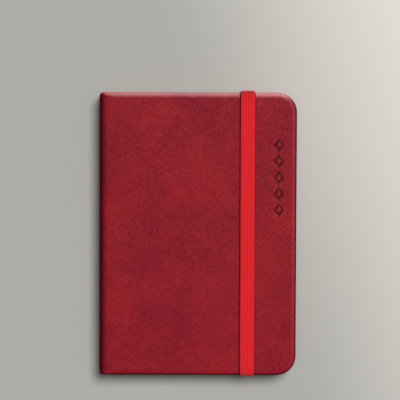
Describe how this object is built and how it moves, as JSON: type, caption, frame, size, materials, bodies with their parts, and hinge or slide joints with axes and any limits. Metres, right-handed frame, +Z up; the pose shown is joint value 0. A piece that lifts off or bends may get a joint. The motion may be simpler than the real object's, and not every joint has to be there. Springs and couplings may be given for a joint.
{
  "type": "pocket notebook",
  "caption": "Closed hardcover pocket notebook in burgundy leather with a sewn page block, hinged covers and a red elastic closing band.",
  "frame": {"origin": "centre of the closed notebook's underside, where the back cover rests", "axes": "+Z up through the closed notebook, +X from the spine to the fore-edge, +Y from the tail to the head"},
  "size_m": [0.101, 0.1468, 0.0152],
  "materials": {
    "cover_leather": "satin burgundy leather with a fine grain, softly mottled",
    "grey_board": "matt grey binder's board",
    "endpaper": "matt cream endpaper",
    "page_paper": "matt cream writing paper, ruled",
    "spine_card": "matt buff card",
    "gauze": "open cotton gauze",
    "thread": "white linen thread",
    "headband": "woven band, red and cream",
    "elastic": "bright red ribbed woven elastic"
  },
  "bodies": {
    "text_block": {"spine_leather": "cover_leather", "spine_strip": "spine_card", "spine_gauze": "gauze", "sewing_thread_1": "thread", "sewing_thread_2": "thread", "sewing_thread_3": "thread", "sewing_thread_4": "thread", "headband_head": "headband", "headband_tail": "headband", "section_04": "page_paper", "section_05": "page_paper", "section_06": "page_paper", "section_07": "page_paper", "section_08": "page_paper", "section_09": "page_paper", "section_10": "page_paper", "section_11": "page_paper", "section_12": "page_paper"},
    "front_cover": {"front_leather": "cover_leather", "front_board": "grey_board", "front_pastedown": "endpaper"},
    "back_cover": {"back_leather": "cover_leather", "back_board": "grey_board", "back_pastedown": "endpaper", "band_tab_head": "elastic", "band_tab_tail": "elastic"},
    "elastic_band": {"elastic_band": "elastic"},
    "front_flyleaf": {"front_flyleaf": "endpaper"},
    "front_section": {"section_01": "page_paper", "section_02": "page_paper", "section_03": "page_paper"},
    "turning_leaf_1": {"turning_leaf_1": "page_paper"},
    "turning_leaf_2": {"turning_leaf_2": "page_paper"},
    "turning_leaf_3": {"turning_leaf_3": "page_paper"},
    "turning_leaf_4": {"turning_leaf_4": "page_paper"},
    "turning_leaf_5": {"turning_leaf_5": "page_paper"},
    "back_flyleaf": {"back_flyleaf": "endpaper"}
  },
  "joints": [
    {"name": "front_cover_hinge", "type": "hinge", "parent": "text_block", "child": "front_cover", "pos_m": [-0.0505, 0, 0.01195], "axis": [0, -1, 0], "range_deg": [0, 178]},
    {"name": "back_cover_hinge", "type": "hinge", "parent": "text_block", "child": "back_cover", "pos_m": [-0.0505, 0, 0.00235], "axis": [0, 1, 0], "range_deg": [0, 178]},
    {"name": "elastic_band_slide", "type": "slide", "parent": "back_cover", "child": "elastic_band", "axis": [1, 0, 0], "range_m": [0, 0.034], "deforming": ["elastic_band"]},
    {"name": "front_flyleaf_turn", "type": "hinge", "parent": "text_block", "child": "front_flyleaf", "pos_m": [-0.0505, 0, 0.01195], "axis": [0, -1, 0], "range_deg": [0, 178]},
    {"name": "front_section_turn", "type": "hinge", "parent": "text_block", "child": "front_section", "pos_m": [-0.0505, 0, 0.01195], "axis": [0, -1, 0], "range_deg": [0, 178]},
    {"name": "turning_leaf_1_turn", "type": "hinge", "parent": "text_block", "child": "turning_leaf_1", "pos_m": [-0.0505, 0, 0.01195], "axis": [0, -1, 0], "range_deg": [0, 178]},
    {"name": "turning_leaf_2_turn", "type": "hinge", "parent": "text_block", "child": "turning_leaf_2", "pos_m": [-0.0505, 0, 0.01195], "axis": [0, -1, 0], "range_deg": [0, 178]},
    {"name": "turning_leaf_3_turn", "type": "hinge", "parent": "text_block", "child": "turning_leaf_3", "pos_m": [-0.0505, 0, 0.01195], "axis": [0, -1, 0], "range_deg": [0, 178]},
    {"name": "turning_leaf_4_turn", "type": "hinge", "parent": "text_block", "child": "turning_leaf_4", "pos_m": [-0.0505, 0, 0.01195], "axis": [0, -1, 0], "range_deg": [0, 178]},
    {"name": "turning_leaf_5_turn", "type": "hinge", "parent": "text_block", "child": "turning_leaf_5", "pos_m": [-0.0505, 0, 0.01195], "axis": [0, -1, 0], "range_deg": [0, 178]},
    {"name": "back_flyleaf_turn", "type": "hinge", "parent": "text_block", "child": "back_flyleaf", "pos_m": [-0.0505, 0, 0.00235], "axis": [0, 1, 0], "range_deg": [0, 178]}
  ],
  "couplings": [
    {"joint": "front_flyleaf_turn", "follows": "front_cover_hinge", "ratio": 0.995},
    {"joint": "front_section_turn", "follows": "front_cover_hinge", "ratio": 0.985},
    {"joint": "turning_leaf_1_turn", "follows": "front_cover_hinge", "ratio": 0.95},
    {"joint": "turning_leaf_2_turn", "follows": "front_cover_hinge", "ratio": 0.88},
    {"joint": "turning_leaf_3_turn", "follows": "front_cover_hinge", "ratio": 0.72},
    {"joint": "turning_leaf_4_turn", "follows": "front_cover_hinge", "ratio": 0.2},
    {"joint": "turning_leaf_5_turn", "follows": "front_cover_hinge", "ratio": 0.08},
    {"joint": "back_flyleaf_turn", "follows": "back_cover_hinge", "ratio": 0.995}
  ]
}
